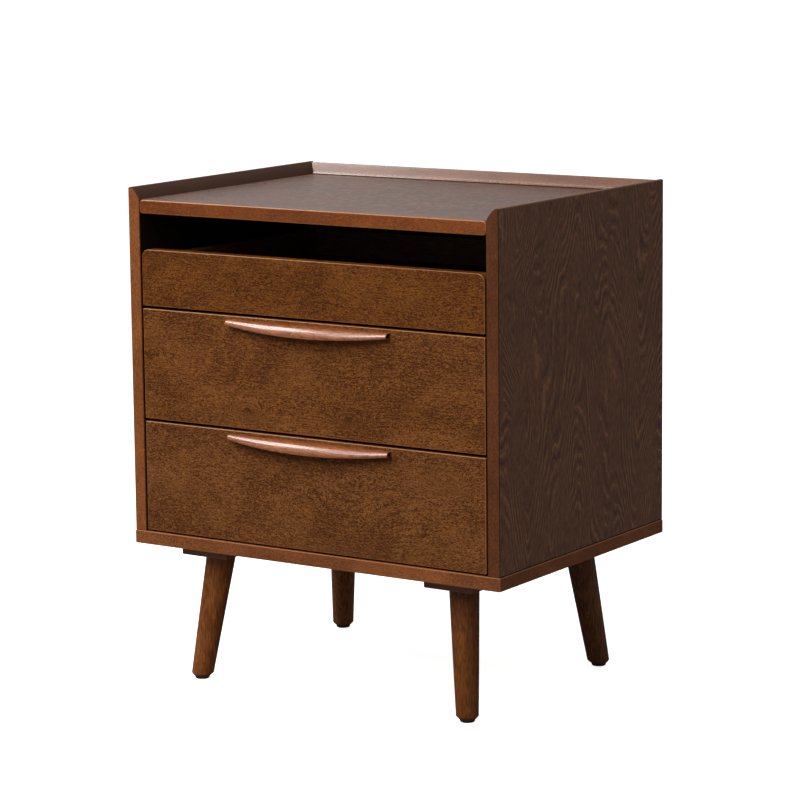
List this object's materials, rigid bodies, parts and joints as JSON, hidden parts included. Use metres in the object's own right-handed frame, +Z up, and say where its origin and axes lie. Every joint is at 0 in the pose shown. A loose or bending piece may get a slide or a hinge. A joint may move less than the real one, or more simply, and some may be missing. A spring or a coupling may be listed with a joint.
{
  "type": "nightstand with drawers",
  "caption": "Wooden nightstand with a raised rim round the top, an open slot over a shallow drawer, deep drawers with carved bow handles and splayed round legs.",
  "frame": {"origin": "on the floor, under the middle of the whole outline, with the handles included", "axes": "+Z up; -Y is the front, towards which the drawers open; +X is to the right seen from the front"},
  "size_m": [0.48, 0.366, 0.555],
  "materials": {
    "face_veneer": "walnut-stained birch veneer under satin lacquer",
    "side_veneer": "walnut-stained birch veneer with upright cathedral grain, satin lacquer",
    "edge_wood": "solid birch edges, walnut stain, satin lacquer",
    "turned_wood": "turned solid wood, walnut stain, satin lacquer",
    "handle_wood": "carved solid wood, walnut stain, glossy lacquer",
    "box_wood": "stained solid drawer box boards, matt lacquer",
    "plywood": "stained thin plywood, matt",
    "beech_dowel": "plain beech",
    "slide_steel": "zinc-plated rolled sheet steel",
    "zinc_steel": "zinc-plated screws and bolts",
    "black_plastic": "black moulded plastic, fine satin"
  },
  "bodies": {
    "carcass": {"left_side_panel": "side_veneer", "right_side_panel": "side_veneer", "top_panel": "face_veneer", "base_panel": "edge_wood", "back_panel": "plywood", "gallery_rail": "edge_wood", "carcass_dowels": "beech_dowel", "leg_block_front_left": "turned_wood", "leg_block_front_right": "turned_wood", "leg_block_back_right": "turned_wood", "leg_block_back_left": "turned_wood", "leg_front_left": "turned_wood", "leg_front_right": "turned_wood", "leg_back_right": "turned_wood", "leg_back_left": "turned_wood", "leg_bolts": "zinc_steel", "block_screws": "zinc_steel", "floor_glides": "black_plastic", "top_slide_outer_left": "slide_steel", "top_slide_outer_right": "slide_steel", "middle_slide_outer_left": "slide_steel", "middle_slide_outer_right": "slide_steel", "bottom_slide_outer_left": "slide_steel", "bottom_slide_outer_right": "slide_steel", "slide_screws": "zinc_steel"},
    "top_drawer": {"top_drawer_front": "face_veneer", "top_drawer_side_left": "box_wood", "top_drawer_side_right": "box_wood", "top_drawer_back": "box_wood", "top_drawer_bottom": "plywood", "top_drawer_dowels": "beech_dowel", "top_drawer_slide_screws": "zinc_steel", "top_slide_inner_left": "slide_steel", "top_slide_inner_right": "slide_steel"},
    "top_slide_middle": {"top_slide_middle_pair": "slide_steel"},
    "middle_drawer": {"middle_drawer_front": "face_veneer", "middle_drawer_side_left": "box_wood", "middle_drawer_side_right": "box_wood", "middle_drawer_back": "box_wood", "middle_drawer_bottom": "plywood", "middle_drawer_dowels": "beech_dowel", "middle_drawer_slide_screws": "zinc_steel", "middle_slide_inner_left": "slide_steel", "middle_slide_inner_right": "slide_steel", "middle_handle": "handle_wood", "middle_handle_screws": "zinc_steel"},
    "middle_slide_middle": {"middle_slide_middle_pair": "slide_steel"},
    "bottom_drawer": {"bottom_drawer_front": "face_veneer", "bottom_drawer_side_left": "box_wood", "bottom_drawer_side_right": "box_wood", "bottom_drawer_back": "box_wood", "bottom_drawer_bottom": "plywood", "bottom_drawer_dowels": "beech_dowel", "bottom_drawer_slide_screws": "zinc_steel", "bottom_slide_inner_left": "slide_steel", "bottom_slide_inner_right": "slide_steel", "bottom_handle": "handle_wood", "bottom_handle_screws": "zinc_steel"},
    "bottom_slide_middle": {"bottom_slide_middle_pair": "slide_steel"}
  },
  "joints": [
    {"name": "top_drawer_slide", "type": "slide", "parent": "carcass", "child": "top_drawer", "axis": [0, -1, 0], "range_m": [0, 0.28]},
    {"name": "top_slide_extension", "type": "slide", "parent": "carcass", "child": "top_slide_middle", "axis": [0, -1, 0], "range_m": [0, 0.14]},
    {"name": "middle_drawer_slide", "type": "slide", "parent": "carcass", "child": "middle_drawer", "axis": [0, -1, 0], "range_m": [0, 0.28]},
    {"name": "middle_slide_extension", "type": "slide", "parent": "carcass", "child": "middle_slide_middle", "axis": [0, -1, 0], "range_m": [0, 0.14]},
    {"name": "bottom_drawer_slide", "type": "slide", "parent": "carcass", "child": "bottom_drawer", "axis": [0, -1, 0], "range_m": [0, 0.28]},
    {"name": "bottom_slide_extension", "type": "slide", "parent": "carcass", "child": "bottom_slide_middle", "axis": [0, -1, 0], "range_m": [0, 0.14]}
  ],
  "couplings": [
    {"joint": "top_slide_extension", "follows": "top_drawer_slide", "ratio": 0.5},
    {"joint": "middle_slide_extension", "follows": "middle_drawer_slide", "ratio": 0.5},
    {"joint": "bottom_slide_extension", "follows": "bottom_drawer_slide", "ratio": 0.5}
  ]
}
